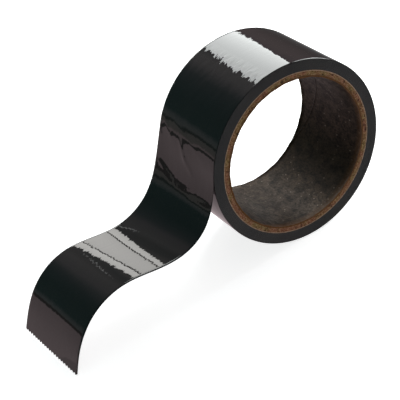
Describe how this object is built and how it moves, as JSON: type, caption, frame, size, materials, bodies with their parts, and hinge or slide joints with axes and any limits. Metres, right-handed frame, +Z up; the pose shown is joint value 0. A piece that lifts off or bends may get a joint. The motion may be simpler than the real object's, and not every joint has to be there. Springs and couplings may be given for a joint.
{
  "type": "wide film tape roll",
  "caption": "Roll of wide black glossy adhesive tape on a paper core; its loose end hangs off in an S-curve to a toothed cut, and the roll spins inside its last turn.",
  "frame": {"origin": "centre of the core's bore, halfway along the roll's width", "axes": "+Y along the roll's axis, away from the side with the finished view; +Z up with the roll and the cut end standing on one level; the free end hangs off towards -X"},
  "size_m": [0.1867, 0.05, 0.0936],
  "materials": {
    "core_liner_paper": "matte, speckled recycled fibres",
    "kraft_paper": "matte, fibrous cut edge",
    "pale_wrap_paper": "matte",
    "wound_tape": "satin slit edges",
    "black_film": "high gloss",
    "adhesive": "tacky, slightly glossy"
  },
  "bodies": {
    "last_turn": {"last_turn_film": "black_film", "last_turn_adhesive": "adhesive"},
    "roll": {"core_liner": "core_liner_paper", "core_ply_1": "kraft_paper", "core_ply_2": "kraft_paper", "core_ply_3": "kraft_paper", "core_ply_4": "kraft_paper", "core_ply_5": "kraft_paper", "core_wrap": "pale_wrap_paper", "wound_turns": "wound_tape"},
    "tail": {"tail_film": "black_film", "tail_adhesive": "adhesive"}
  },
  "joints": [
    {"name": "roll_spin", "type": "hinge", "parent": "last_turn", "child": "roll", "pos_m": [0, 0, 0], "axis": [0, -1, 0], "continuous": true},
    {"name": "tail_lift", "type": "hinge", "parent": "last_turn", "child": "tail", "pos_m": [-0.04332, 0, 0.0175], "axis": [0, 1, 0], "range_deg": [0, 60], "stiffness_Nm_per_rad": 0.004}
  ]
}
